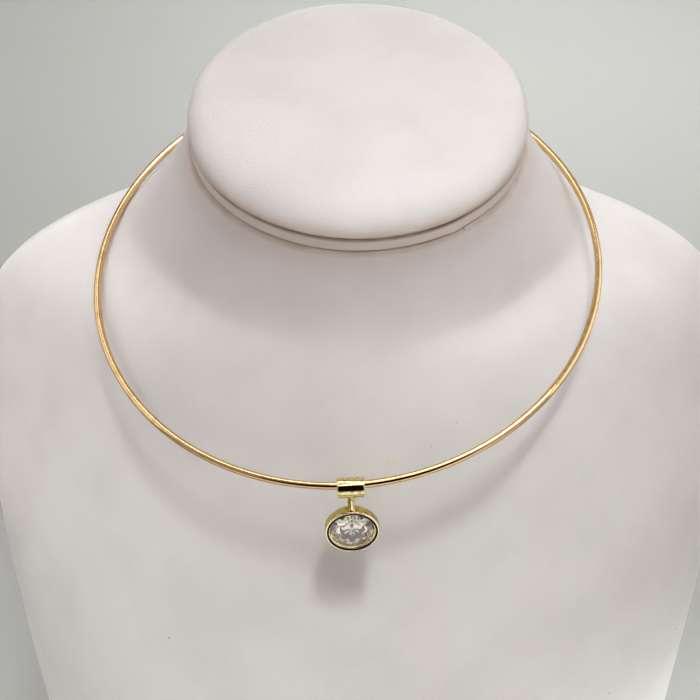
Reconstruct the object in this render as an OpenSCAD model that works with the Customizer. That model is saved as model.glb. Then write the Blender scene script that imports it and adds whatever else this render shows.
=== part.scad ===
// Round wire collar with an oval bezel pendant, worn on a leatherette covered neck bust.
// Millimetres, Z up. The front of the bust faces -Y. The origin is the middle of the flat base.

/* [Collar] */
// Thickness of the round collar wire
wire_d = 2.0; // [1.6:0.1:2.1]
// Radius of the collar, to the middle of its wire
collar_r = 68.5; // [68.3:0.1:68.7]
// How far the front of the collar dips below level, in degrees
collar_dip = 19.66; // [19:0.1:20]
// How far the collar leans to its wearer's right side, in degrees
collar_lean = 5.03; // [4.5:0.1:5.1]
// Centre of the collar across the bust
collar_x = -3.2; // [-3.5:0.1:-3]
// Centre of the collar from front to back
collar_y = 6.7; // [6.5:0.1:7]
// Height of the centre of the collar above the table
collar_z = 172.1; // [172:0.1:173]

/* [Clasp] */
// Length of the barrel that closes the collar at the back
clasp_l = 11; // [9:0.5:12]
// Thickness of the barrel
clasp_d = 3.6; // [3.4:0.1:3.7]
// Width of the socket that takes each wire end
socket_d = 2.7; // [2.6:0.05:2.8]
// Depth of each socket
socket_l = 4.2; // [3:0.1:4.2]

/* [Pendant] */
// Place of the pendant along the front of the wire, in degrees from its middle
pendant_turn = -0.65; // [-1:0.05:2]
// How far the face of the hanging pendant looks up, in degrees
pendant_rest = 3.5; // [3:0.5:4]
// How far the tube cocks on the sloping wire, in degrees
bail_cock = 3.1; // [0:0.1:3.2]
// How far the pendant turns to its wearer's left side, in degrees
pendant_yaw = 4; // [0:0.5:4]
// Length of the tube that rides on the wire
bail_l = 6.9; // [6:0.1:7]
// Outer thickness of the tube
bail_d = 5.3; // [5.2:0.1:5.6]
// Bore of the tube
bail_bore = 4.2; // [4.1:0.1:4.3]
// Thickness of the post between the tube and the bezel
post_d = 1.86; // [1.6:0.02:2]
// Place of the post in front of or behind the wire
post_y = -0.05; // [-0.3:0.05:0]
// Width of the bezel
bezel_w = 14.1; // [14:0.1:14.4]
// Height of the bezel
bezel_h = 12.8; // [12.7:0.1:12.9]
// Distance from the wire down to the middle of the bezel
bezel_drop = 14.0; // [13.8:0.05:14.2]
// Distance of the bezel's front edge in front of the wire
bezel_front = 1.4; // [1.3:0.05:1.6]

/* [Stone] */
// Width of the oval stone at its girdle
stone_w = 11.6; // [11.4:0.05:11.65]
// Height of the oval stone at its girdle
stone_h = 10.3; // [10.1:0.05:10.35]
// Height of the crown above the girdle
crown_h = 1.35; // [1.2:0.05:1.4]
// Depth of the pavilion below the girdle
pavilion_h = 4.1; // [3.9:0.05:4.1]
// Size of the table as a share of the girdle
table_share = 0.58; // [0.5:0.01:0.62]

/* [Neck cap] */
// Radius of the padded round cap
cap_r = 45.5; // [45.4:0.1:45.6]
// Thickness of the cap
cap_h = 8.5; // [8:0.1:9]
// Rounding of the cap's upper edge
cap_edge = 4.5; // [3:0.1:5]
// Rounding of the cap's lower edge
cap_under = 2; // [1:0.1:2.5]
// Radius of the band under the cap
band_r = 45; // [44.9:0.1:45.1]
// Height of the band
band_h = 3.7; // [3:0.1:4]
// Crease left between covered pieces
crease = 0.3; // [0.2:0.05:0.4]

/* [Hidden] */

gold = [0.86, 0.66, 0.38];
yellow_gold = [0.84, 0.72, 0.36];
stone_clear = [0.93, 0.93, 0.92];
leatherette = [0.88, 0.86, 0.85];
leatherette_shade = [0.80, 0.76, 0.73];

round_fn = 96;
wire_r = wire_d / 2;

// Each wire end stops just short of the bottom of its socket
end_clear = 0.2;
wire_end_x = clasp_l / 2 - socket_l + end_clear;
wire_end_angle = asin(wire_end_x / collar_r);
// The straight barrel sits in the middle of the slight curve that it covers
clasp_sag = collar_r - sqrt(collar_r * collar_r - clasp_l * clasp_l / 4);
clasp_chamfer = 0.3;

// The tube hangs on the wire with this much air between the two
bail_air = 0.45;
bail_z = -(bail_bore / 2 - wire_r - bail_air);
bail_chamfer = 0.18;

// Bust sections from the base up. Each is flat, and tilts as the neck does.
// z: height of the section at its widest place
// tilt: forward tilt in degrees
// half_w: half of its width
// front, wide, back: Y of its front, of its widest place and of its back
// front_a, front_b, back_a, back_b: how round the front and back run into the sides
//  z, tilt, half_w, front, wide, back, front_a, front_b, back_a, back_b
sections = [
    [0,     0,   94.2, -71.5, -2.5, 71.5, 2.5,  0.80, 3.4, 0.60],
    [30,    0,   98.8, -67.3,  1.5, 71.5, 2.45, 0.80, 3.4, 0.60],
    [60,    0,  103.4, -62.2,  6.5, 71.5, 2.35, 0.80, 3.4, 0.60],
    [88,    0,  107.3, -56.7, 13.5, 71.5, 2.25, 0.83, 3.4, 0.60],
    [115,   0,  109.6, -50.8, 24.5, 71.5, 2.15, 0.87, 3.4, 0.60],
    [131,   0,  110.0, -46.8, 32.5, 71.5, 2.07, 0.89, 3.2, 0.60],
    [141,   0,  108.4, -44.1, 35.5, 71.5, 2.03, 0.91, 3.0, 0.60],
    [150,   0,  104.8, -41.0, 36.8, 71.3, 2,    0.91, 2.9, 0.60],
    [158,   0,   98.0, -37.6, 37.0, 71.0, 2,    0.89, 2.7, 0.59],
    [165,   0,   87.8, -33.9, 36.6, 70.8, 2,    0.86, 2.5, 0.57],
    [170,   0.4, 75.7, -31.2, 35.6, 70.5, 2,    0.81, 2.3, 0.54],
    [174,   1.2, 67.0, -29.4, 33.8, 70.1, 2,    0.73, 2.15, 0.52],
    [180,   3,   60.9, -27.4, 31.0, 69.2, 2,    0.64, 2.05, 0.50],
    [187,   5.5, 55.5, -25.6, 28.0, 67.8, 2,    0.56, 2,   0.50],
    [195,   8,   50.7, -24.2, 24.7, 66.1, 2,    0.52, 2,   0.50],
    [201,   9.5, 47.6, -23.3, 22.4, 65.6, 2,    0.50, 2,   0.50],
    [205.1, 10,  45.0, -23.1, 21.2, 65.5, 2,    0.50, 2,   0.50]
];
section_count = len(sections);
steps_between = 4;
around = 60;

// Top of the neck, from the last section
neck_top = sections[section_count - 1];
neck_tilt = neck_top[1];
neck_top_y = neck_top[4];
neck_top_z = neck_top[0];

// Cross-section of the bezel: inset from its outer oval, and depth behind its front edge
//  inset, depth
bezel_profile = [
    [0.00, 2.66],
    [0.00, 0.42],
    [0.07, 0.20],
    [0.22, 0.06],
    [0.45, 0.00],
    [0.72, 0.02],
    [0.92, 0.10],
    [1.40, 0.66],
    [1.42, 0.78],
    [1.15, 1.00],
    [1.15, 2.60],
    [2.55, 5.60],
    [1.70, 5.60]
];
bezel_around = 48;

// The stone's girdle starts this far behind the bezel's front edge, and is this thick
girdle_depth = 1.05;
girdle_h = 0.25;
// Rings of the brilliant cut, as shares of the girdle, the crown height and the pavilion depth
star_share = 0.80;
star_rise = 0.56;
lower_share = 0.50;
lower_drop = 0.42;

// Slope of column c between rows i and i + 1
function secant(c, i) = (sections[i + 1][c] - sections[i][c]) / (sections[i + 1][0] - sections[i][0]);

// Slope of column c at row i, kept from overshooting by the harmonic mean of its neighbours
function slope(c, i) =
    i == 0 ? secant(c, 0) :
    i == section_count - 1 ? secant(c, i - 1) :
    secant(c, i - 1) * secant(c, i) <= 0 ? 0 :
    2 * secant(c, i - 1) * secant(c, i) / (secant(c, i - 1) + secant(c, i));

// Column c at share u of the way from row i to row i + 1, on a smooth cubic
function blend(c, i, u) =
    let (h = sections[i + 1][0] - sections[i][0])
    (1 + 2 * u) * (1 - u) * (1 - u) * sections[i][c]
    + u * (1 - u) * (1 - u) * h * slope(c, i)
    + u * u * (3 - 2 * u) * sections[i + 1][c]
    + u * u * (u - 1) * h * slope(c, i + 1);

// Every column at share u of the way from row i to row i + 1
function section_at(i, u) = [
    let (h = sections[i + 1][0] - sections[i][0])
    sections[i][0] + u * h,
    for (c = [1:9]) blend(c, i, u)
];

// How far section s reaches forward or back of its widest place, at angle t from the front
function reach(s, t) =
    abs(t) <= 90
        ? -(s[4] - s[3]) / cos(s[1]) * pow(1 - pow(abs(sin(t)), s[6]), s[7])
        : (s[5] - s[4]) / cos(s[1]) * pow(1 - pow(abs(sin(t)), s[8]), s[9]);

// The points of section s, all round, starting at the back
function section_points(s) = [
    for (k = [0:around - 1])
    let (t = -180 + 360 * k / around, r = reach(s, t))
    [s[2] * sin(t), s[4] + r * cos(s[1]), s[0] + r * sin(s[1])]
];

// Quads between rings of n points, given as ring and point numbers
function skin(rings, n) = [
    for (r = [0:rings - 2])
    for (k = [0:n - 1])
    let (a = r * n + k, b = r * n + (k + 1) % n)
    each [[a, a + n, b + n], [a, b + n, b]]
];

// An oval ring in the XZ plane at depth y, starting at its right side
function oval_ring(half_w, half_h, y, n, start = 0) = [
    for (k = [0:n - 1])
    let (t = start + 360 * k / n)
    [half_w * cos(t), y, half_h * sin(t)]
];

// Places its children in the plane of the collar
module on_collar() {
    translate([collar_x, collar_y, collar_z])
        rotate([collar_dip, -collar_lean, 0])
            children();
}

// Places its children with X along the tube and Z up the hanging pendant
module on_pendant() {
    on_collar()
        rotate([0, 0, pendant_turn])
            translate([0, -collar_r, 0])
                rotate([-collar_dip - pendant_rest, 0, 0])
                    rotate([0, bail_cock, pendant_yaw])
                        children();
}

// Places its children on the top of the neck
module on_neck() {
    translate([0, neck_top_y, neck_top_z])
        rotate([neck_tilt, 0, 0])
            children();
}

module neck_wire() {
    color(gold)
        on_collar()
            rotate([0, 0, 90 + wire_end_angle])
                rotate_extrude(angle = 360 - 2 * wire_end_angle, $fn = 360)
                    translate([collar_r, 0])
                        circle(r = wire_r, $fn = 48);
}

module clasp() {
    r = clasp_d / 2;
    c = clasp_chamfer;
    color(gold)
        on_collar()
            translate([0, collar_r - clasp_sag / 2, 0])
                rotate([0, 90, 0])
                    difference() {
                        rotate_extrude($fn = round_fn)
                            polygon([
                                [0, -clasp_l / 2], [r - c, -clasp_l / 2], [r, -clasp_l / 2 + c],
                                [r, clasp_l / 2 - c], [r - c, clasp_l / 2], [0, clasp_l / 2]
                            ]);
                        for (side = [-1, 1])
                            translate([0, 0, side * (clasp_l / 2 - socket_l / 2 + 0.5)])
                                cylinder(d = socket_d, h = socket_l + 1, center = true, $fn = round_fn);
                    }
}

module bail_tube() {
    r = bail_d / 2;
    c = bail_chamfer;
    translate([0, 0, bail_z])
        rotate([0, 90, 0])
            rotate_extrude($fn = round_fn)
                polygon([
                    [0, -bail_l / 2], [r - c, -bail_l / 2], [r, -bail_l / 2 + c],
                    [r, bail_l / 2 - c], [r - c, bail_l / 2], [0, bail_l / 2]
                ]);
}

// The bezel is one ring of its cross-section, carried round the oval
module bezel() {
    m = len(bezel_profile);
    n = bezel_around;
    points = [
        for (p = bezel_profile)
        each oval_ring(bezel_w / 2 - p[0], bezel_h / 2 - p[0], p[1] - bezel_front, n)
    ];
    faces = [
        for (r = [0:m - 1])
        for (k = [0:n - 1])
        let (a = r * n + k, b = r * n + (k + 1) % n, c = ((r + 1) % m) * n + k, d = ((r + 1) % m) * n + (k + 1) % n)
        each [[a, d, b], [a, c, d]]
    ];
    translate([0, 0, -bezel_drop])
        polyhedron(points, faces);
}

module pendant_setting() {
    post_top = bail_z - bail_bore / 2;
    post_foot = -bezel_drop + bezel_h / 2 - bezel_profile[9][0] / 2;
    color(yellow_gold)
        on_pendant()
            difference() {
                union() {
                    bail_tube();
                    bezel();
                    translate([0, post_y, post_foot])
                        cylinder(d = post_d, h = post_top - post_foot, $fn = round_fn);
                }
                translate([0, 0, bail_z])
                    rotate([0, 90, 0])
                        cylinder(d = bail_bore, h = bail_l + 2, center = true, $fn = round_fn);
            }
}

// Oval brilliant: table, 8 stars, 8 kites, 16 upper and 16 lower girdle facets, 8 pavilion mains
module oval_stone() {
    w = stone_w / 2;
    h = stone_h / 2;
    top = girdle_depth - bezel_front;
    low = top + girdle_h;
    points = concat(
        oval_ring(w * table_share, h * table_share, top - crown_h, 8, 22.5),
        oval_ring(w * star_share, h * star_share, top - crown_h * star_rise, 8),
        oval_ring(w, h, top, 16),
        oval_ring(w, h, low, 16),
        oval_ring(w * lower_share, h * lower_share, low + pavilion_h * lower_drop, 8, 22.5),
        [[0, low + pavilion_h, 0]]
    );
    star = 8;
    girdle = 16;
    under = 32;
    lower = 48;
    culet = 56;
    faces = concat(
        [[for (k = [0:7]) 7 - k]],
        [for (k = [0:7]) [k, star + k, (k + 7) % 8]],
        [for (k = [0:7]) [k, girdle + 2 * k + 1, star + k]],
        [for (k = [0:7]) [k, star + (k + 1) % 8, girdle + 2 * k + 1]],
        [for (k = [0:7]) [star + k, girdle + 2 * k + 1, girdle + 2 * k]],
        [for (k = [0:7]) [star + (k + 1) % 8, girdle + (2 * k + 2) % 16, girdle + 2 * k + 1]],
        [for (k = [0:15]) [girdle + k, under + (k + 1) % 16, under + k]],
        [for (k = [0:15]) [girdle + k, girdle + (k + 1) % 16, under + (k + 1) % 16]],
        [for (k = [0:7]) [under + 2 * k, under + 2 * k + 1, lower + k]],
        [for (k = [0:7]) [under + 2 * k + 1, under + (2 * k + 2) % 16, lower + k]],
        [for (k = [0:7]) [under + 2 * k, lower + k, culet]],
        [for (k = [0:7]) [under + (2 * k + 2) % 16, culet, lower + k]]
    );
    color(stone_clear)
        on_pendant()
            translate([0, 0, -bezel_drop])
                polyhedron(points, faces);
}

module bust_form() {
    rings = [
        for (i = [0:section_count - 2])
        for (k = [0:steps_between - 1])
        section_points(section_at(i, k / steps_between)),
        section_points(neck_top)
    ];
    count = len(rings);
    points = [for (ring = rings) each ring];
    base = [[for (k = [0:around - 1]) k]];
    top = [[for (k = [0:around - 1]) count * around - 1 - k]];
    color(leatherette)
        polyhedron(points, concat(skin(count, around), base, top));
}

module neck_band() {
    color(leatherette_shade)
        on_neck()
            translate([0, 0, crease])
                rotate_extrude($fn = 180)
                    polygon([[0, 0], [band_r - 0.4, 0], [band_r, 0.4], [band_r, band_h - 0.4],
                        [band_r - 0.4, band_h], [0, band_h]]);
}

module neck_cap() {
    color(leatherette)
        on_neck()
            translate([0, 0, 2 * crease + band_h])
                rotate_extrude($fn = 180)
                    union() {
                        square([cap_r - cap_edge, cap_h]);
                        translate([0, cap_under])
                            square([cap_r, cap_h - cap_edge - cap_under]);
                        square([cap_r - cap_under, cap_h - cap_edge]);
                        translate([cap_r - cap_edge, cap_h - cap_edge])
                            intersection() {
                                circle(r = cap_edge, $fn = 96);
                                square(cap_edge);
                            }
                        translate([cap_r - cap_under, cap_under])
                            intersection() {
                                circle(r = cap_under, $fn = 96);
                                translate([0, -cap_under])
                                    square(cap_under);
                            }
                    }
}

neck_wire();
clasp();
pendant_setting();
oval_stone();
bust_form();
neck_band();
neck_cap();
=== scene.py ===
"""Dresses a rigid wire collar with an oval bezel pendant, worn on a leatherette neck bust."""

import math

import bmesh
import bpy
from bpy.props import FloatProperty, FloatVectorProperty, IntProperty, PointerProperty
from mathutils import Euler, Matrix, Vector, noise


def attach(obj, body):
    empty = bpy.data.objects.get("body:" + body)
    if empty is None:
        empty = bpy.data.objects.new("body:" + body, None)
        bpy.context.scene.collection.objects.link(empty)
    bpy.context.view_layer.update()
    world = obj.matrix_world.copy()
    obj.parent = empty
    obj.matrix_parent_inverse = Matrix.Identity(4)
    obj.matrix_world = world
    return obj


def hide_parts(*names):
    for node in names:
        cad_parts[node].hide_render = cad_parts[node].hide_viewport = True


bl_info = {
    "name": "Cuff necklace on neck bust",
    "version": (1, 0, 0),
    "blender": (4, 5, 0),
    "location": "View3D > Sidebar > Necklace",
    "description": "Builds the finished collar, pendant and covered bust round the packed solids",
    "category": "Object",
}

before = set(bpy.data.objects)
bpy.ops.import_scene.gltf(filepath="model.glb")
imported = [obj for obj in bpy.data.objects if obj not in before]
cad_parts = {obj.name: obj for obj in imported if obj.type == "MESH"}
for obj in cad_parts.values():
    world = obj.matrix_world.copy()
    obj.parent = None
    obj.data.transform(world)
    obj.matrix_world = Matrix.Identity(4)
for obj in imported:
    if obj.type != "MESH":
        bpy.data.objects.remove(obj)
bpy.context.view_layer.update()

MM = 0.001
FULL_TURN = math.tau
WIRE_STRETCHES = 36
# The dark card in front: how far its middle is from straight up, and its inner and outer edge
CARD_FROM_TOP = math.radians(63)
CARD_INNER = math.radians(30)
CARD_OUTER = math.radians(35)
# How bright the room looks in polished metal, on the left and on the right
ROOM_LEFT, ROOM_RIGHT = 0.33, 0.56
# How much brighter it looks for each face of the stone that a ray goes through
STONE_ROOM = 0.3
# The room's light on cloth, the room as metal and stone see it, and the dark card
EVEN_COLOUR = (1.0, 0.88, 0.825)
SEEN_COLOUR = (1.0, 0.95, 0.92)
CARD_COLOUR = (0.012, 0.006, 0.006)
# The camera: focal length and sensor width in mm, place in metres, and tilt
LENS, SENSOR = 110.04, 36
CAMERA_SPOT = (-0.0021, -0.4789, 0.4977)
CAMERA_TILT = math.radians(54)
# The floor: half its width, and how far it lies under the base, in metres
FLOOR_HALF = 4.0
FLOOR_DROP = 0.0002
# The setting's materials, in their order on the mesh after the plain gold: near-black for painted shade, pale
# gold for painted highlight, and olive gold for painted darker reflection
GROOVE, LIP, WALL = 1, 2, 3
BUST_BODY = "worn_collar_and_bust"
PENDANT_BODY = "pendant"


def size(name, description, default, low, high):
    """A length in millimetres that the sidebar shows."""
    return FloatProperty(name=name, description=description, default=default, min=low, max=high, precision=3)


def degrees(name, description, default, low, high):
    """An angle in degrees that the sidebar shows."""
    return FloatProperty(name=name, description=description, default=default, min=low, max=high, precision=2)


def colour(name, description, default):
    """A colour that the sidebar shows."""
    return FloatVectorProperty(
        name=name, description=description, default=default, subtype="COLOR", size=3, min=0, max=1
    )


class CollarSettings(bpy.types.PropertyGroup):
    wire_r: size("Wire radius", "Half the thickness of the collar wire, mm", 1.0, 0.7, 1.2)
    collar_r: size("Collar radius", "Radius to the middle of the wire, mm", 68.5, 60, 80)
    centre: FloatVectorProperty(
        name="Centre", description="Centre of the collar, mm", default=(-3.2, 6.7, 172.1)
    )
    dip: degrees("Dip", "How far the front dips, degrees", 19.66, 0, 40)
    lean: degrees("Lean", "How far the collar leans sideways, degrees", 5.03, -10, 10)
    rib_pitch: size("Rib pitch", "Distance between the fine ribs across the wire, mm", 0.4, 0.3, 1)
    rib_depth: size("Rib depth", "Depth of the grooves between the ribs, mm", 0.0035, 0, 0.03)
    wire_sides: IntProperty(name="Wire sides", description="Faces round the wire", default=20, min=12, max=32)
    clasp_l: size("Clasp length", "Length of the barrel at the back, mm", 11, 8, 14)
    clasp_r: size("Clasp radius", "Radius of the barrel, mm", 1.8, 1.5, 2.2)
    socket_r: size("Socket radius", "Radius of the socket that takes each wire end, mm", 1.35, 1.2, 1.5)
    socket_l: size("Socket depth", "Depth of each socket, mm", 4.2, 2, 5)
    gold: colour("Wire gold", "Rose-yellow gold of the wire", (0.82, 0.55, 0.28))


class PendantSettings(bpy.types.PropertyGroup):
    turn: degrees("Place", "Place along the front of the wire, degrees", -0.65, -5, 5)
    rest: degrees("Face up", "How far the hanging face looks up, degrees", 3.5, 0, 10)
    cock: degrees("Cock", "How far the tube cocks on the wire, degrees", 3.1, 0, 6)
    yaw: degrees("Yaw", "How far the pendant turns sideways, degrees", 4, 0, 8)
    bail_l: size("Tube length", "Length of the tube on the wire, mm", 6.9, 5, 9)
    bail_r: size("Tube radius", "Outer radius of the tube, mm", 2.65, 2, 3.5)
    bore_r: size("Bore radius", "Inner radius of the tube, mm", 2.1, 1.5, 3)
    bail_z: size("Tube drop", "Height of the tube's middle above the wire's, mm", -0.65, -2, 0)
    post_r: size("Post radius", "Radius of the post, mm", 0.93, 0.6, 1.2)
    post_y: size("Post place", "Place of the post behind the wire, mm", -0.05, -0.5, 0.5)
    bezel_w: size("Bezel width", "Width of the bezel, mm", 14.1, 10, 18)
    bezel_h: size("Bezel height", "Height of the bezel, mm", 12.8, 9, 16)
    bezel_drop: size("Bezel drop", "Distance from the wire to the bezel's middle, mm", 14.0, 10, 18)
    bezel_front: size("Bezel front", "How far the bezel's front edge is in front of the wire, mm", 1.4, 0, 3)
    gold: colour("Setting gold", "Yellow gold of the setting", (0.96, 0.81, 0.42))


class BustSettings(bpy.types.PropertyGroup):
    neck_y: size("Neck top back", "Y of the middle of the neck's top, mm", 21.2, 0, 40)
    neck_z: size("Neck top height", "Height of the middle of the neck's top, mm", 205.1, 180, 230)
    neck_tilt: degrees("Neck tilt", "Forward tilt of the neck's top, degrees", 10, 0, 20)
    band_r: size("Band radius", "Radius of the band, mm", 45, 40, 50)
    band_h: size("Band height", "Height of the band, mm", 3.7, 2, 6)
    crease: size("Crease", "Crease between covered pieces, mm", 0.3, 0.1, 0.6)
    cap_r: size("Cap radius", "Radius of the padded cap, mm", 45.5, 40, 50)
    cap_h: size("Cap height", "Thickness of the padded cap, mm", 8.5, 6, 12)
    white: colour("Leatherette", "White of the leatherette", (0.806, 0.793, 0.780))
    band_white: colour("Band", "Pinkish white of the band's leatherette", (0.94, 0.84, 0.78))


class StageSettings(bpy.types.PropertyGroup):
    power: FloatProperty(name="Lights", description="Power of all the lights, as a share", default=1, min=0)
    room: FloatProperty(name="Room light", description="Strength of the room's light", default=0.53, min=0)
    tint: colour("Light colour", "Slightly cool white of the lights", (0.96, 0.995, 1.0))
    floor: colour("Floor", "Colour of the plain floor", (0.345, 0.351, 0.334))


def turn_x(angle):
    return Matrix.Rotation(math.radians(angle), 4, "X")


def turn_y(angle):
    return Matrix.Rotation(math.radians(angle), 4, "Y")


def turn_z(angle):
    return Matrix.Rotation(math.radians(angle), 4, "Z")


def moved(x, y, z):
    return Matrix.Translation((x, y, z))


def collar_place(collar):
    """From the collar's own plane, in mm, to the model's frame, in metres."""
    return Matrix.Scale(MM, 4) @ moved(*collar.centre) @ turn_y(-collar.lean) @ turn_x(collar.dip)


def pendant_place(collar, pendant):
    """From the hanging pendant's own axes, in mm, to the model's frame, in metres."""
    on_wire = turn_z(pendant.turn) @ moved(0, -collar.collar_r, 0) @ turn_x(-collar.dip - pendant.rest)
    return collar_place(collar) @ on_wire @ turn_z(pendant.yaw) @ turn_y(pendant.cock)


def neck_place(bust):
    """From the top of the neck, in mm, to the model's frame, in metres."""
    return Matrix.Scale(MM, 4) @ moved(0, bust.neck_y, bust.neck_z) @ turn_x(bust.neck_tilt)


def arc(cx, cy, r, start, end, steps):
    """Points of an arc, ends included, with angles in degrees."""
    angles = [math.radians(start + (end - start) * i / steps) for i in range(steps + 1)]
    return [(cx + r * math.cos(a), cy + r * math.sin(a)) for a in angles]


def spun(profile, steps, closed=False):
    """A shell turned about Z from (radius, height) points, in mm."""
    bm = bmesh.new()
    verts = [bm.verts.new((r, 0, z)) for r, z in profile]
    edges = [bm.edges.new(pair) for pair in zip(verts, verts[1:])]
    if closed:
        edges.append(bm.edges.new((verts[-1], verts[0])))
    bmesh.ops.spin(
        bm, geom=verts + edges, cent=(0, 0, 0), axis=(0, 0, 1), angle=FULL_TURN, steps=steps, use_merge=True
    )
    bmesh.ops.remove_doubles(bm, verts=bm.verts, dist=1e-4)
    bmesh.ops.recalc_face_normals(bm, faces=bm.faces)
    return bm


def joined(parts, places=(Matrix(),)):
    """One bmesh that holds every shell in parts, once at each of the places."""
    whole = bmesh.new()
    for bm in parts:
        mesh = bpy.data.meshes.new("part")
        bm.to_mesh(mesh)
        bm.free()
        for matrix in places:
            copy = mesh.copy()
            copy.transform(matrix)
            whole.from_mesh(copy)
            bpy.data.meshes.remove(copy)
        bpy.data.meshes.remove(mesh)
    return whole


def place(bm, matrix):
    bmesh.ops.transform(bm, matrix=matrix, verts=bm.verts)
    return bm


def finish_piece(name, bm, materials, body, slot, *nodes):
    """Makes the piece's object, smooth all over, hangs it on its body and hides the packed parts that it
    stands for.
    """
    mesh = bpy.data.meshes.new(name)
    bm.to_mesh(mesh)
    bm.free()
    for material in materials:
        mesh.materials.append(material)
    mesh.polygons.foreach_set("use_smooth", [True] * len(mesh.polygons))
    piece = bpy.data.objects.new(name, mesh)
    bpy.context.scene.collection.objects.link(piece)
    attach(piece, body)
    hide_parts(*nodes)
    return piece


class Shader:
    """A material's node tree, with short calls for the nodes that it needs."""

    def __init__(self, name):
        self.material = bpy.data.materials.new(name)
        self.material.use_nodes = True
        self.tree = self.material.node_tree
        self.tree.nodes.clear()
        self.output = self.add("ShaderNodeOutputMaterial")
        self.surface = self.add("ShaderNodeBsdfPrincipled")
        self.link(self.surface.outputs["BSDF"], self.output.inputs["Surface"])
        self.coords = self.add("ShaderNodeTexCoord").outputs["Object"]

    def add(self, kind, **settings):
        node = self.tree.nodes.new(kind)
        for key, value in settings.items():
            setattr(node, key, value)
        return node

    def link(self, source, target):
        self.tree.links.new(source, target)

    def set(self, **values):
        """Sets the surface's sockets: roughness=0.5 or specular_ior_level=0.4."""
        names = {s.name.lower().replace(" ", "_"): s for s in self.surface.inputs}
        for key, value in values.items():
            socket = names[key]
            if isinstance(value, bpy.types.NodeSocket):
                self.link(value, socket)
            else:
                socket.default_value = (*value, 1) if isinstance(value, tuple) else value

    def mapped(self, scale):
        node = self.add("ShaderNodeMapping")
        node.inputs["Scale"].default_value = scale
        self.link(self.coords, node.inputs["Vector"])
        return node.outputs["Vector"]

    def noise(self, scale, detail=2.0, rough=0.5, vector=None):
        node = self.add("ShaderNodeTexNoise")
        node.inputs["Scale"].default_value = scale
        node.inputs["Detail"].default_value = detail
        node.inputs["Roughness"].default_value = rough
        self.link(vector or self.coords, node.inputs["Vector"])
        return node.outputs["Fac"]

    def cells(self, scale, feature, vector=None):
        node = self.add("ShaderNodeTexVoronoi", feature=feature)
        node.inputs["Scale"].default_value = scale
        self.link(vector or self.coords, node.inputs["Vector"])
        return node.outputs["Distance"]

    def ramp(self, value, low, high, to_low=0.0, to_high=1.0):
        node = self.add("ShaderNodeMapRange", interpolation_type="SMOOTHSTEP")
        for name, number in (("From Min", low), ("From Max", high), ("To Min", to_low), ("To Max", to_high)):
            node.inputs[name].default_value = number
        self.link(value, node.inputs["Value"])
        return node.outputs["Result"]

    def mix(self, share, first, second):
        """A colour from first to second, each a colour or a socket, by share."""
        node = self.add("ShaderNodeMix", data_type="RGBA")
        self.link(share, node.inputs["Factor"])
        for name, value in (("A", first), ("B", second)):
            socket = next(s for s in node.inputs if s.name == name and s.type == "RGBA")
            if isinstance(value, bpy.types.NodeSocket):
                self.link(value, socket)
            else:
                socket.default_value = (*value, 1)
        return next(s for s in node.outputs if s.type == "RGBA")

    def math(self, operation, first, second):
        node = self.add("ShaderNodeMath", operation=operation)
        for socket, value in zip(node.inputs, (first, second)):
            if isinstance(value, bpy.types.NodeSocket):
                self.link(value, socket)
            else:
                socket.default_value = value
        return node.outputs["Value"]

    def near(self, point, inner, outer):
        """1 close to a point, in metres, fading to 0 between the inner and outer distance."""
        node = self.add("ShaderNodeVectorMath", operation="DISTANCE")
        self.link(self.coords, node.inputs[0])
        node.inputs[1].default_value = point
        return self.ramp(node.outputs["Value"], inner, outer, 1, 0)

    def height_along(self, place):
        """The height over the place's origin, in metres, along its Z axis."""
        node = self.add("ShaderNodeVectorMath", operation="SUBTRACT")
        self.link(self.coords, node.inputs[0])
        node.inputs[1].default_value = place.translation
        along = self.add("ShaderNodeVectorMath", operation="DOT_PRODUCT")
        self.link(node.outputs["Vector"], along.inputs[0])
        along.inputs[1].default_value = place.to_3x3().col[2].normalized()
        return along.outputs["Value"]

    def bump(self, height, distance, strength=1.0, under=None):
        node = self.add("ShaderNodeBump")
        node.inputs["Distance"].default_value = distance
        node.inputs["Strength"].default_value = strength
        self.link(height, node.inputs["Height"])
        if under is not None:
            self.link(under, node.inputs["Normal"])
        return node.outputs["Normal"]


# Small marks on the bust: where each is, in mm, its radius, its colour and its strength
MARKS = [
    ((95.2, -10.1, 54.2), 0.45, (0.16, 0.11, 0.03), 0.9),
    ((72.7, -37.4, 54.5), 0.34, (0.30, 0.20, 0.15), 0.8),
    ((72.1, -37.6, 56.0), 0.26, (0.45, 0.34, 0.27), 0.6),
    ((63.1, -37.3, 92.3), 0.32, (0.66, 0.45, 0.33), 0.6),
    ((62.7, -37.4, 91.5), 0.30, (0.66, 0.45, 0.33), 0.6),
    ((63.6, -37.1, 93.1), 0.28, (0.66, 0.45, 0.33), 0.5),
    ((-52.3, -45.6, 84.1), 0.36, (0.17, 0.13, 0.15), 0.8),
    ((30.3, -34.5, 149.1), 0.42, (0.30, 0.30, 0.10), 0.7),
    ((26.0, -35.6, 151.9), 0.30, (0.38, 0.35, 0.35), 0.6),
    ((19.2, -39.4, 147.3), 0.30, (0.38, 0.35, 0.35), 0.6),
    ((8.2, -42.6, 144.1), 0.9, (0.84, 0.62, 0.36), 0.35),
    ((9.6, -42.4, 144.1), 0.9, (0.84, 0.62, 0.36), 0.30),
    ((27.3, -14.0, 198.5), 0.5, (0.28, 0.20, 0.18), 0.8),
]


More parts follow.
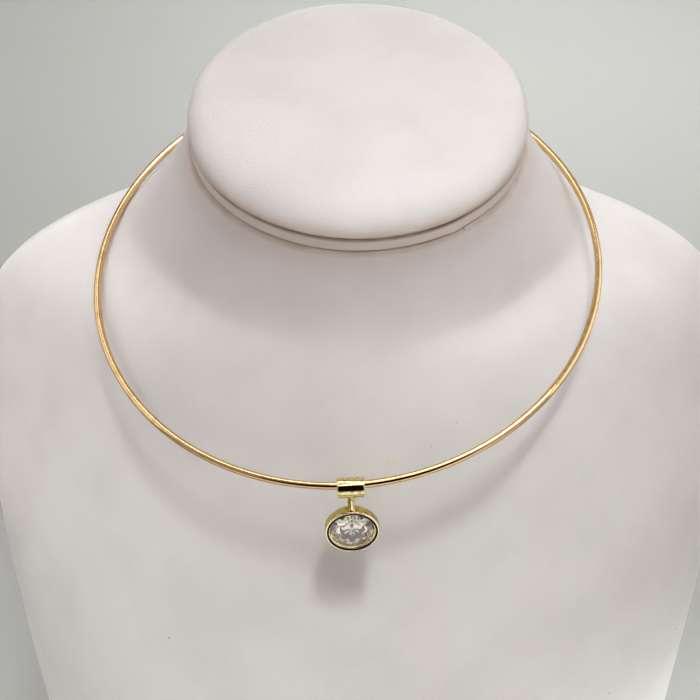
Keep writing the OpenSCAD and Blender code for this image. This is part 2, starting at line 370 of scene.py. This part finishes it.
def leatherette(name, white, grain, marks=(), place=None, shaded_rings=()):
    """Matt coated cloth with a fine pebble grain, slightly blotched, with a few marks.
    Each of the rings is painted shade round the neck's own axis at place: the heights where it starts
    and where it is darkest, in mm, its strength and its colour."""
    s = Shader(name)
    shade = tuple(c * 0.93 for c in white)
    blotch = s.ramp(s.noise(38, 3), 0.35, 0.68)
    tone = s.mix(blotch, white, shade)
    pores = s.ramp(s.cells(1500, "DISTANCE_TO_EDGE"), 0.0, 0.16, 1, 0)
    tone = s.mix(s.math("MULTIPLY", pores, 0.10), tone, tuple(c * 0.72 for c in white))
    if shaded_rings:
        height = s.height_along(place)
        uneven = s.ramp(s.noise(120, 3), 0.3, 0.7, 0.6, 1.0)
    # Painted shade: each ring darkens and warms the cloth between its two heights, unevenly
    for unshaded, darkest, strength, stain_and_shade in shaded_rings:
        share = s.math("MULTIPLY", s.ramp(height, MM * unshaded, MM * darkest), strength)
        tone = s.mix(s.math("MULTIPLY", share, uneven), tone, stain_and_shade)
    for point, radius, mark, strength in marks:
        here = s.near(tuple(MM * c for c in point), MM * radius * 0.4, MM * radius)
        tone = s.mix(s.math("MULTIPLY", here, strength), tone, mark)
    pebbles = s.ramp(s.cells(1150, "SMOOTH_F1", s.mapped((1.0, 1.0, 1.5))), 0.0, 0.75)
    relief = s.math("ADD", s.math("MULTIPLY", pebbles, 0.7), s.math("MULTIPLY", s.noise(2600, 3), 0.5))
    soft = s.bump(s.noise(55, 2), 0.0009, 0.12)
    fine = s.bump(relief, 0.00006, grain, soft)
    s.set(
        base_color=tone,
        roughness=s.ramp(s.noise(900, 2), 0.3, 0.7, 0.46, 0.62),
        specular_ior_level=0.42,
        sheen_weight=0.08,
        normal=fine,
    )
    return s.material


def gold(name, tint, rough, uneven, stain_and_shade=None, patch=260, low=0.5, high=0.75):
    """Polished gold with faint scratches, softly uneven faces and stained patches.
    patch is how fine the patches are, and low and high say how much of the gold they take."""
    s = Shader(name)
    tarnish_and_shade = s.ramp(s.noise(patch, 3), low, high)
    tone = s.mix(tarnish_and_shade, tint, stain_and_shade or (tint[0] * 0.86, tint[1] * 0.80, tint[2] * 0.66))
    scratches = s.noise(5200, 2, 0.6, s.mapped((1.0, 0.25, 1.0)))
    waves = s.bump(s.noise(620, 1), 0.00012, uneven)
    fine = s.bump(scratches, 0.000004, 0.5, waves)
    s.set(
        base_color=tone,
        metallic=1.0,
        roughness=s.ramp(scratches, 0.35, 0.75, rough, rough + 0.09),
        normal=fine,
    )
    return s.material


def clear_stone(name):
    """Clear stone with a high refraction and faint traces inside."""
    s = Shader(name)
    haze = s.noise(900, 2)
    s.set(
        base_color=s.mix(s.ramp(haze, 0.4, 0.7), (0.99, 0.95, 0.85), (0.93, 0.87, 0.73)),
        transmission_weight=0.97,
        ior=2.2,
        roughness=s.ramp(haze, 0.4, 0.8, 0.0, 0.02),
    )
    return s.material


def wire_bmesh(collar):
    """A round wire about Z with a fine rib at every second ring, in mm, open at the back.
    One short stretch is spun, and the rest of the collar is turned copies of it."""
    end_x = collar.clasp_l / 2 - collar.socket_l + 0.2
    gap = math.asin(end_x / collar.collar_r)
    sweep = (FULL_TURN - 2 * gap) / WIRE_STRETCHES
    steps = 2 * round(sweep * collar.collar_r / collar.rib_pitch)
    stretch = bmesh.new()
    upright = moved(collar.collar_r, 0, 0) @ turn_x(90)
    bmesh.ops.create_circle(stretch, segments=collar.wire_sides, radius=collar.wire_r, matrix=upright)
    ring = list(stretch.verts) + list(stretch.edges)
    bmesh.ops.spin(stretch, geom=ring, cent=(0, 0, 0), axis=(0, 0, 1), angle=sweep, steps=steps)
    for v in stretch.verts:
        around = math.atan2(v.co.y, v.co.x)
        if round(around / sweep * steps) % 2:
            middle = Vector((math.cos(around), math.sin(around), 0)) * collar.collar_r
            v.co = middle + (v.co - middle) * (1 - collar.rib_depth / collar.wire_r)
    whole = joined([stretch], [Matrix.Rotation(i * sweep, 4, "Z") for i in range(WIRE_STRETCHES)])
    bmesh.ops.remove_doubles(whole, verts=whole.verts, dist=1e-3)
    bmesh.ops.holes_fill(whole, edges=[e for e in whole.edges if e.is_boundary], sides=0)
    bmesh.ops.recalc_face_normals(whole, faces=whole.faces)
    return place(whole, turn_z(90) @ Matrix.Rotation(gap, 4, "Z"))


def clasp_bmesh(collar):
    """The barrel: a socket at each end, rounded edges, and two turned grooves by its middle."""
    half, r, socket, depth = collar.clasp_l / 2, collar.clasp_r, collar.socket_r, collar.socket_l
    soft = 0.22
    groove = 0.16
    top = [(0, half - depth), (socket - 0.1, half - depth), (socket, half - depth + 0.1)]
    top += [(socket, half - 0.08), (socket + 0.08, half)] + arc(r - soft, half - soft, soft, 90, 0, 5)
    for z in (1.5, 0.9):
        top += [(r, z + groove), (r - 0.10, z), (r, z - groove)]
    profile = top + [(x, -z) for x, z in reversed(top)]
    bm = spun(profile, 64)
    sag = collar.collar_r - math.sqrt(collar.collar_r**2 - half**2)
    return place(bm, moved(0, collar.collar_r - sag / 2, 0) @ turn_y(90))


def bail_bmesh(pendant):
    """The tube, with rounded rims and a bore that is open right through."""
    half, r, bore = pendant.bail_l / 2, pendant.bail_r, pendant.bore_r
    rim = (r - bore) / 2
    mid = (r + bore) / 2
    flatten = 0.7
    start = half - rim * flatten
    profile = [(x, start + (z - start) * flatten) for x, z in arc(mid, start, rim, 0, 180, 10)]
    profile += [(x, -z) for x, z in reversed(profile)]
    bm = spun(profile, 96, closed=True)
    return place(bm, moved(0, 0, pendant.bail_z) @ turn_y(90))


def bezel_bmesh(pendant):
    """The oval rim: a rounded lip, a dark groove, a slope down to the stone, a seat and a back."""
    outer, inner = 0.34, 0.13
    # Points of the profile: how far in from the rim's outside, and how far back from its front, in mm
    front = [(0.0, 2.66), (0.0, 0.9)] + arc(outer, outer, -outer, 0, 90, 9)
    front += arc(outer, inner, inner, -90, 0, 4)[1:]
    groove = [(0.48, 0.42), (0.53, 0.55), (0.68, 0.62), (0.84, 0.58), (0.93, 0.48)]
    slope = [(0.97, 0.38), (1.01, 0.33), (1.07, 0.32), (1.15, 0.37), (1.26, 0.48), (1.37, 0.62), (1.42, 0.72)]
    inside = [(1.42, 0.80), (1.34, 0.88), (1.15, 1.00), (1.15, 2.60)]
    back = [(2.45, 5.50), (2.40, 5.60), (1.85, 5.62), (1.70, 5.56), (1.62, 5.46)]
    profile = front + groove + slope + inside + back
    w, h = pendant.bezel_w / 2, pendant.bezel_h / 2
    bm = spun([(w - inset, depth - pendant.bezel_front) for inset, depth in profile], 144, closed=True)
    for face in bm.faces:
        middle = face.calc_center_median()
        inset = w - math.hypot(middle.x, middle.y)
        depth = middle.z + pendant.bezel_front
        # The groove's near-black is painted shade and dark reflection, and the band of it grows wider towards
        # the top
        upper = max(0.0, -middle.y / w)
        if 0.46 < inset < 0.96 + 0.34 * upper and 0.28 < depth < 0.68:
            face.material_index = GROOVE
        # The lip and the slope to the stone take a paler gold: painted highlight
        elif depth < 0.75 and (0.05 < inset < 0.6 or 0.9 < inset < 1.42):
            face.material_index = LIP
        # The outside and the back take a darker olive gold: painted darker reflection
        elif inset < 0.01 or depth > 0.9 and inset < 1.0:
            face.material_index = WALL
    for v in bm.verts:
        inset = w - math.hypot(v.co.x, v.co.y)
        v.co.y *= (h - inset) / (w - inset)
    return place(bm, moved(0, 0, -pendant.bezel_drop) @ turn_x(-90))


def post_bmesh(pendant):
    """The post, flared where it is soldered to the tube and to the bezel, with a painted dark reflection down
    its front.
    """
    r = pendant.post_r
    top = pendant.bail_z - (pendant.bail_r + pendant.bore_r) / 2
    foot = -pendant.bezel_drop + pendant.bezel_h / 2 - 0.55
    under_tube = pendant.bail_z - pendant.bail_r
    over_rim = -pendant.bezel_drop + pendant.bezel_h / 2
    profile = [(0, top), (r * 1.25, top), (r * 1.22, under_tube + 0.05), (r * 1.07, under_tube - 0.12)]
    profile += [(r, under_tube - 0.35), (r, over_rim + 0.5), (r * 1.06, over_rim + 0.22), (r * 1.2, over_rim)]
    profile += [(r * 1.25, foot), (0, foot)]
    bm = spun(profile, 40)
    # Painted dark reflection: a near-black streak down the post's front, and darker olive gold to its left
    for face in bm.faces:
        middle = face.calc_center_median()
        if middle.y < 0 and middle.x < -0.1 * r:
            face.material_index = GROOVE if middle.x > -0.4 * r else WALL
    return place(bm, moved(0, pendant.post_y, 0))


def settings():
    scene = bpy.context.scene
    return scene.collar_sizes, scene.pendant_sizes, scene.bust_sizes, scene.stage_lights


class NECKLACE_OT_collar_wire(bpy.types.Operator):
    """Build the round collar wire with its fine cross ribs"""

    bl_idname = "necklace.collar_wire"
    bl_label = "Collar wire"

    def execute(self, context):
        collar, _, _, _ = settings()
        material = gold("rose_yellow_gold", tuple(collar.gold), 0.05, 0.0)
        bm = place(wire_bmesh(collar), collar_place(collar))
        finish_piece("ribbed_collar_wire", bm, [material], BUST_BODY, "gold", "neck_wire")
        return {"FINISHED"}


class NECKLACE_OT_clasp(bpy.types.Operator):
    """Build the barrel that closes the collar at the back"""

    bl_idname = "necklace.clasp"
    bl_label = "Clasp barrel"

    def execute(self, context):
        collar, _, _, _ = settings()
        material = gold("rose_yellow_gold_clasp", tuple(collar.gold), 0.16, 0.1)
        bm = place(clasp_bmesh(collar), collar_place(collar))
        finish_piece("clasp_barrel", bm, [material], BUST_BODY, "gold", "clasp")
        return {"FINISHED"}


class NECKLACE_OT_setting(bpy.types.Operator):
    """Build the tube, post and bezel of the pendant as one soldered piece"""

    bl_idname = "necklace.setting"
    bl_label = "Pendant setting"

    def execute(self, context):
        collar, pendant, _, _ = settings()
        stain_and_shade, deep_stain = (0.66, 0.52, 0.13), (0.33, 0.22, 0.03)
        plain = gold("yellow_gold", tuple(pendant.gold), 0.05, 0.5, stain_and_shade, 1300, 0.50, 0.64)
        bm = joined([bail_bmesh(pendant), post_bmesh(pendant), bezel_bmesh(pendant)])
        place(bm, pendant_place(collar, pendant))
        # Near-black gold for the groove and the post's front streak: painted shade and dark reflection
        tarnish_and_shade = gold("tarnished_groove", (0.035, 0.018, 0.008), 0.35, 0.2)
        # Paler gold for the lip and the slope to the stone: painted highlight
        lip = gold("bright_cut_rim", (1.0, 0.90, 0.66), 0.12, 0.3)
        # Darker olive gold for the bezel's outside, its back and the post's left: painted darker reflection
        wall = gold("olive_wall", (0.70, 0.54, 0.11), 0.14, 0.9, deep_stain, 800, 0.46, 0.66)
        metals = [plain, tarnish_and_shade, lip, wall]
        finish_piece("soldered_setting", bm, metals, PENDANT_BODY, "yellow_gold", "pendant_setting")
        return {"FINISHED"}


class NECKLACE_OT_stone(bpy.types.Operator):
    """Give the faceted stone its clear material"""

    bl_idname = "necklace.stone"
    bl_label = "Oval stone"

    def execute(self, context):
        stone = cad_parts["oval_stone"]
        stone.data.materials.clear()
        stone.data.materials.append(clear_stone("clear_brilliant"))
        stone.data.polygons.foreach_set("use_smooth", [False] * len(stone.data.polygons))
        return {"FINISHED"}


# How firmly the smooth cover keeps the bust's sharp edges, and the rings of painted shade on the neck under
# the band: a wide warm one, and a narrow dark contact shadow at the band's foot
EDGE_CREASE = 0.9
BUST_SHADE_RINGS = [(-11, -0.5, 0.5, (0.66, 0.55, 0.47)), (-2.2, -0.4, 0.6, (0.42, 0.32, 0.23))]


class NECKLACE_OT_bust(bpy.types.Operator):
    """Cover the bust in smooth leatherette"""

    bl_idname = "necklace.bust"
    bl_label = "Bust cover"

    def execute(self, context):
        _, _, bust, _ = settings()
        bm = bmesh.new()
        bm.from_mesh(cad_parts["bust_form"].data)
        bmesh.ops.remove_doubles(bm, verts=bm.verts, dist=1e-6)
        up = neck_place(bust).to_3x3().col[2].normalized()
        parallel = 0.99999
        for normal in (Vector((0, 0, -1)), up):
            flat = [f for f in bm.faces if f.normal.dot(normal) > parallel]
            bmesh.ops.dissolve_faces(bm, faces=flat)
        bend, skew, sharp = math.radians(40), math.radians(70), math.radians(60)
        bmesh.ops.join_triangles(bm, faces=bm.faces, angle_face_threshold=bend, angle_shape_threshold=skew)
        crease = bm.edges.layers.float.new("crease_edge")
        for edge in bm.edges:
            if len(edge.link_faces) == 2 and edge.calc_face_angle() > sharp:
                edge[crease] = EDGE_CREASE
        neck = neck_place(bust)
        material = leatherette("white_leatherette", tuple(bust.white), 0.25, MARKS, neck, BUST_SHADE_RINGS)
        cover = finish_piece("leatherette_bust", bm, [material], BUST_BODY, "leatherette", "bust_form")
        smooth = cover.modifiers.new("smooth cover", "SUBSURF")
        smooth.levels = smooth.render_levels = 2
        return {"FINISHED"}


# The pucker at the band's foot: its angle from the right side and half width in degrees, and how far it
# stands out and up in mm
PUCKER_ANGLE, PUCKER_WIDTH = -56.5, 3
PUCKER_DEPTH, PUCKER_HEIGHT = 0.4, 1.2


class NECKLACE_OT_band(bpy.types.Operator):
    """Build the narrow covered band under the cap"""

    bl_idname = "necklace.band"
    bl_label = "Neck band"

    def execute(self, context):
        _, _, bust, _ = settings()
        r, h = bust.band_r, bust.band_h
        edge = 0.55
        profile = [(0, 0), (r * 0.6, 0), (r - 2, 0)] + arc(r - edge, edge, edge, -90, 0, 6)
        top = 0.9
        profile += arc(r - top, h - top, top, 0, 90, 8) + [(r - 2, h), (r * 0.6, h), (0, h)]
        bm = spun(profile, 240)
        for v in bm.verts:
            turn = math.degrees(math.atan2(v.co.y, v.co.x)) - PUCKER_ANGLE
            if v.co.z < PUCKER_HEIGHT and math.hypot(v.co.x, v.co.y) > r - 1:
                share = math.exp(-((turn / PUCKER_WIDTH) ** 4)) * (1 - v.co.z / PUCKER_HEIGHT)
                push = PUCKER_DEPTH * share
                v.co = Vector((v.co.x * (1 + push / r), v.co.y * (1 + push / r), v.co.z))
        place(bm, neck_place(bust) @ moved(0, 0, bust.crease))
        foot = bust.crease
        head = foot + h
        # Painted shade: an olive-brown line at the band's foot, and a dark crease shadow along its top under
        # the cap
        foot_shade = (foot + 0.45, foot, 0.35, (0.40, 0.30, 0.18))
        shaded_rings = [foot_shade, (head - 0.9, head - 0.1, 0.8, (0.20, 0.13, 0.09))]
        material = leatherette("band_leatherette", tuple(bust.band_white), 0.4, (), neck_place(bust), shaded_rings)
        finish_piece("covered_band", bm, [material], BUST_BODY, "leatherette_band", "neck_band")
        return {"FINISHED"}


# Short pleats round the cap's edge: angle from its right side in degrees, width in degrees, depth in mm
PLEATS = [
    (-3, 1.1, 0.20),
    (2, 0.9, 0.16),
    (6, 1.2, 0.20),
    (11, 1.0, 0.12),
    (171, 1.1, 0.14),
    (176, 0.9, 0.12),
    (-166, 1.3, 0.10),
]


def cap_bmesh(bust):
    """The padded disc about Z: a firm edge at the back, and a slack rounded edge at the front."""
    r, h = bust.cap_r, bust.cap_h
    edge, under, slack_under = 4.5, 2.0, 1.5
    shares = (0.82, 0.7, 0.55, 0.4, 0.25, 0.1, 0)
    base = [(0, 0), (r * 0.5, 0), (r * 0.8, 0)]

    def slack_z(share):
        return slack_under + (h + 0.35 - slack_under) * (1 - share**4.5) ** (1 / 1.8)

    firm = base + arc(r - under, under, under, -90, 0, 8) + arc(r - edge, h - edge, edge, 0, 90, 14)
    firm += [(r * share, h + 0.5 * (1 - share**2)) for share in shares]
    slack = base + arc(r - slack_under, slack_under, slack_under, -90, 0, 8)
    rim = [1 - 0.13 * (i / 14) ** 2 for i in range(15)]
    slack += [(r * share, slack_z(share)) for share in (*rim, *shares)]
    bm = spun(firm, 240)
    for v in bm.verts:
        around = math.atan2(v.co.y, v.co.x)
        out = math.hypot(v.co.x, v.co.y)
        ring = min(range(len(firm)), key=lambda i: abs(firm[i][0] - out) + abs(firm[i][1] - v.co.z))
        front = max(0.0, min(1.0, (0.35 - math.sin(around)) / 1.2))
        front = front * front * (3 - 2 * front)
        radius = firm[ring][0] * (1 - front) + slack[ring][0] * front
        height = firm[ring][1] * (1 - front) + slack[ring][1] * front
        on_edge = max(0.0, min(1.0, (radius / r - 0.85) / 0.15)) * (height > 1)
        wave = noise.noise(Vector((math.cos(around) * 2.4, math.sin(around) * 2.4, height * 0.05)))
        radius *= 1 + 0.003 * wave * on_edge
        for angle, width, depth in PLEATS:
            turn = (math.degrees(around) - angle + 180) % 360 - 180
            radius -= depth * on_edge * math.exp(-((turn / width) ** 2))
        v.co = (radius * math.cos(around), radius * math.sin(around), height)
        if height > h / 2:
            v.co.z += 0.12 * noise.noise(Vector((v.co.x * 0.05, v.co.y * 0.05, 3.0)))
    return bm


class NECKLACE_OT_cap(bpy.types.Operator):
    """Build the padded round cap"""

    bl_idname = "necklace.cap"
    bl_label = "Neck cap"

    def execute(self, context):
        _, _, bust, _ = settings()
        bm = cap_bmesh(bust)
        foot = 2 * bust.crease + bust.band_h
        bm = place(bm, neck_place(bust) @ moved(0, 0, foot))
        # Painted shade: a warm tan darkening on the cap's rolled-under edge, and a dark crease shadow at its
        # foot
        roll_shade = (foot + 4.6, foot + 0.8, 0.75, (0.78, 0.60, 0.47))
        shaded_rings = [roll_shade, (foot + 0.65, foot + 0.3, 0.9, (0.16, 0.10, 0.07))]
        material = leatherette("cap_leatherette", tuple(bust.white), 0.7, (), neck_place(bust), shaded_rings)
        cap = finish_piece("padded_cap", bm, [material], BUST_BODY, "leatherette", "neck_cap")
        return {"FINISHED"}


# Soft lights, some behind a grid: power, width, depth, place, target and beam angle
LIGHTS = {
    "right top light": (0.98, 0.9, 0.9, (0.30, 0.15, 1.25), (0, 0, 0.16), 180),
    "left top light": (0.9, 0.9, 0.9, (-0.15, 0.10, 1.30), (0, 0, 0.16), 180),
    "back light": (5.6, 0.9, 0.6, (0.10, 0.80, 1.00), (0, 0, 0.18), 180),
    "left shoulder beam": (0.055, 0.2, 0.2, (-0.80, 0.0, 1.0), (-0.16, -0.01, 0.12), 7),
    "right shoulder beam": (0.024, 0.2, 0.2, (0.80, 0.50, 0.90), (0.15, 0.0, 0.135), 7),
    "upper chest beam": (0.060, 0.26, 0.2, (0.16, -0.45, 1.25), (-0.005, -0.06, 0.09), 12),
    "lower chest beam": (0.077, 0.28, 0.18, (0.12, -0.42, 1.28), (-0.02, -0.14, 0.05), 9),
    "floor beam": (0.49, 0.2, 0.2, (0.9, -0.9, 0.5), (0.24, -0.22, 0.0), 9),
    "backdrop beam": (0.58, 0.4, 0.3, (0.45, 0.75, 1.0), (0.06, 0.42, 0.0), 30),
}


# Pale cards that only polished metal and the stone see: brightness, width, depth, place and target
CARDS = {
    "table card": (0.56, 1.4, 0.55, (0, -0.48, 0.002), (0, -0.48, 1)),
    "left card": (0.55, 0.9, 1.2, (-0.85, 0.1, 0.55), (0, 0, 0.15)),
    "right card": (0.7, 0.9, 1.2, (0.85, 0.1, 0.55), (0, 0, 0.15)),
    "high card": (1.5, 0.5, 0.25, (0.06, -0.36, 1.05), (0, -0.06, 0.15)),
    "strip card": (6.0, 0.75, 0.13, (0.06, 0.02, 1.05), (0, -0.06, 0.15)),
}


def soft_light(name, power, width, depth, spot, target, beam=180, tint=(1, 1, 1)):
    """A big area light at spot that faces target."""
    light = bpy.data.lights.new(name, "AREA")
    light.shape = "RECTANGLE"
    light.size, light.size_y, light.energy = width, depth, power
    light.spread = math.radians(beam)
    light.color = tint
    lamp = bpy.data.objects.new(name, light)
    lamp.location = spot
    lamp.rotation_mode = "QUATERNION"
    lamp.rotation_quaternion = (Vector(target) - Vector(spot)).to_track_quat("-Z", "Y")
    bpy.context.scene.collection.objects.link(lamp)
    return lamp


def light_room(world, lights):
    """Even warm light for cloth. Metal and stone see a room that is dimmer on the left,
    with a dark card in front, which polished metal shows as a dark line."""
    world.use_nodes = True
    tree = world.node_tree
    even = tree.nodes["Background"]
    even.inputs["Color"].default_value = (*EVEN_COLOUR, 1)
    even.inputs["Strength"].default_value = lights.room

    seen = tree.nodes.new("ShaderNodeBackground")
    coords = tree.nodes.new("ShaderNodeTexCoord").outputs["Generated"]

    def facing(direction, low, high, to_low, to_high):
        toward = tree.nodes.new("ShaderNodeVectorMath")
        toward.operation = "DOT_PRODUCT"
        toward.inputs[1].default_value = direction
        tree.links.new(coords, toward.inputs[0])
        share = tree.nodes.new("ShaderNodeMapRange")
        share.interpolation_type = "SMOOTHSTEP"
        for name, number in (("From Min", low), ("From Max", high), ("To Min", to_low), ("To Max", to_high)):
            share.inputs[name].default_value = number
        tree.links.new(toward.outputs["Value"], share.inputs["Value"])
        return share.outputs["Result"]

    middle = (0, -math.sin(CARD_FROM_TOP), math.cos(CARD_FROM_TOP))
    card = facing(middle, math.cos(CARD_OUTER), math.cos(CARD_INNER), 0, 1)
    mix = tree.nodes.new("ShaderNodeMix")
    mix.data_type = "RGBA"
    colours = [socket for socket in mix.inputs if socket.type == "RGBA"]
    colours[0].default_value = (*SEEN_COLOUR, 1)
    colours[1].default_value = (*CARD_COLOUR, 1)
    tree.links.new(card, mix.inputs["Factor"])
    tree.links.new(next(s for s in mix.outputs if s.type == "RGBA"), seen.inputs["Color"])

    path = tree.nodes.new("ShaderNodeLightPath")
    through = tree.nodes.new("ShaderNodeMath")
    through.operation = "MULTIPLY_ADD"
    through.use_clamp = True
    tree.links.new(path.outputs["Transmission Depth"], through.inputs[0])
    through.inputs[1].default_value = STONE_ROOM
    tree.links.new(facing((1, 0, 0), -0.6, 0.6, ROOM_LEFT, ROOM_RIGHT), through.inputs[2])
    tree.links.new(through.outputs["Value"], seen.inputs["Strength"])

    choice = tree.nodes.new("ShaderNodeMixShader")
    tree.links.new(path.outputs["Is Diffuse Ray"], choice.inputs["Fac"])
    tree.links.new(seen.outputs["Background"], choice.inputs[1])
    tree.links.new(even.outputs["Background"], choice.inputs[2])
    tree.links.new(choice.outputs["Shader"], tree.nodes["World Output"].inputs["Surface"])


class NECKLACE_OT_stage(bpy.types.Operator):
    """Set the plain floor, the soft lights and the camera"""

    bl_idname = "necklace.stage"
    bl_label = "Stage"

    def execute(self, context):
        _, _, _, lights = settings()
        scene = context.scene
        bm = bmesh.new()
        bmesh.ops.create_grid(bm, x_segments=8, y_segments=8, size=FLOOR_HALF)
        mesh = bpy.data.meshes.new("floor")
        bm.to_mesh(mesh)
        bm.free()
        floor = bpy.data.objects.new("floor", mesh)
        floor.location = (0, 0, -FLOOR_DROP)
        scene.collection.objects.link(floor)
        s = Shader("plain_floor")
        pale = tuple(lights.floor)
        s.set(base_color=s.mix(s.noise(6, 2), pale, tuple(c * 0.97 for c in pale)), roughness=0.8)
        mesh.materials.append(s.material)

        for name, (power, width, depth, spot, target, beam) in LIGHTS.items():
            lamp = soft_light(name, power * lights.power, width, depth, spot, target, beam, lights.tint)
            lamp.visible_glossy = False
        for name, (brightness, width, depth, spot, target) in CARDS.items():
            # A card's power follows its size, so that its brightness stays the same
            card = soft_light(name, 4 * brightness * width * depth, width, depth, spot, target)
            card.visible_camera = card.visible_diffuse = False
        world = scene.world or bpy.data.worlds.new("room")
        scene.world = world
        light_room(world, lights)
        scene.view_settings.view_transform = "Standard"
        scene.view_settings.look = "None"

        lens = bpy.data.cameras.new("camera")
        lens.lens = LENS
        lens.sensor_width = SENSOR
        lens.clip_start, lens.clip_end = 0.02, 20
        camera = bpy.data.objects.new("camera", lens)
        camera.location = CAMERA_SPOT
        camera.rotation_euler = Euler((CAMERA_TILT, 0, 0))
        scene.collection.objects.link(camera)
        scene.camera = camera
        return {"FINISHED"}


class NECKLACE_PT_panel(bpy.types.Panel):
    bl_idname = "NECKLACE_PT_panel"
    bl_label = "Cuff necklace"
    bl_space_type = "VIEW_3D"
    bl_region_type = "UI"
    bl_category = "Necklace"

    def draw(self, context):
        layout = self.layout
        for group in settings():
            box = layout.box()
            for name in group.__annotations__:
                box.prop(group, name)
        for operator in OPERATORS:
            layout.operator(operator.bl_idname)


OPERATORS = (
    NECKLACE_OT_stage,
    NECKLACE_OT_bust,
    NECKLACE_OT_band,
    NECKLACE_OT_cap,
    NECKLACE_OT_collar_wire,
    NECKLACE_OT_clasp,
    NECKLACE_OT_setting,
    NECKLACE_OT_stone,
)
GROUPS = {
    "collar_sizes": CollarSettings,
    "pendant_sizes": PendantSettings,
    "bust_sizes": BustSettings,
    "stage_lights": StageSettings,
}


def register():
    for name, group in GROUPS.items():
        bpy.utils.register_class(group)
        setattr(bpy.types.Scene, name, PointerProperty(type=group))
    for cls in (*OPERATORS, NECKLACE_PT_panel):
        bpy.utils.register_class(cls)


def unregister():
    for cls in reversed((*OPERATORS, NECKLACE_PT_panel)):
        bpy.utils.unregister_class(cls)
    for name, group in GROUPS.items():
        delattr(bpy.types.Scene, name)
        bpy.utils.unregister_class(group)


def main():
    register()
    bpy.ops.necklace.stage()
    bpy.ops.necklace.bust()
    bpy.ops.necklace.band()
    bpy.ops.necklace.cap()
    bpy.ops.necklace.collar_wire()
    bpy.ops.necklace.clasp()
    bpy.ops.necklace.setting()
    bpy.ops.necklace.stone()


if __name__ == "__main__":
    main()
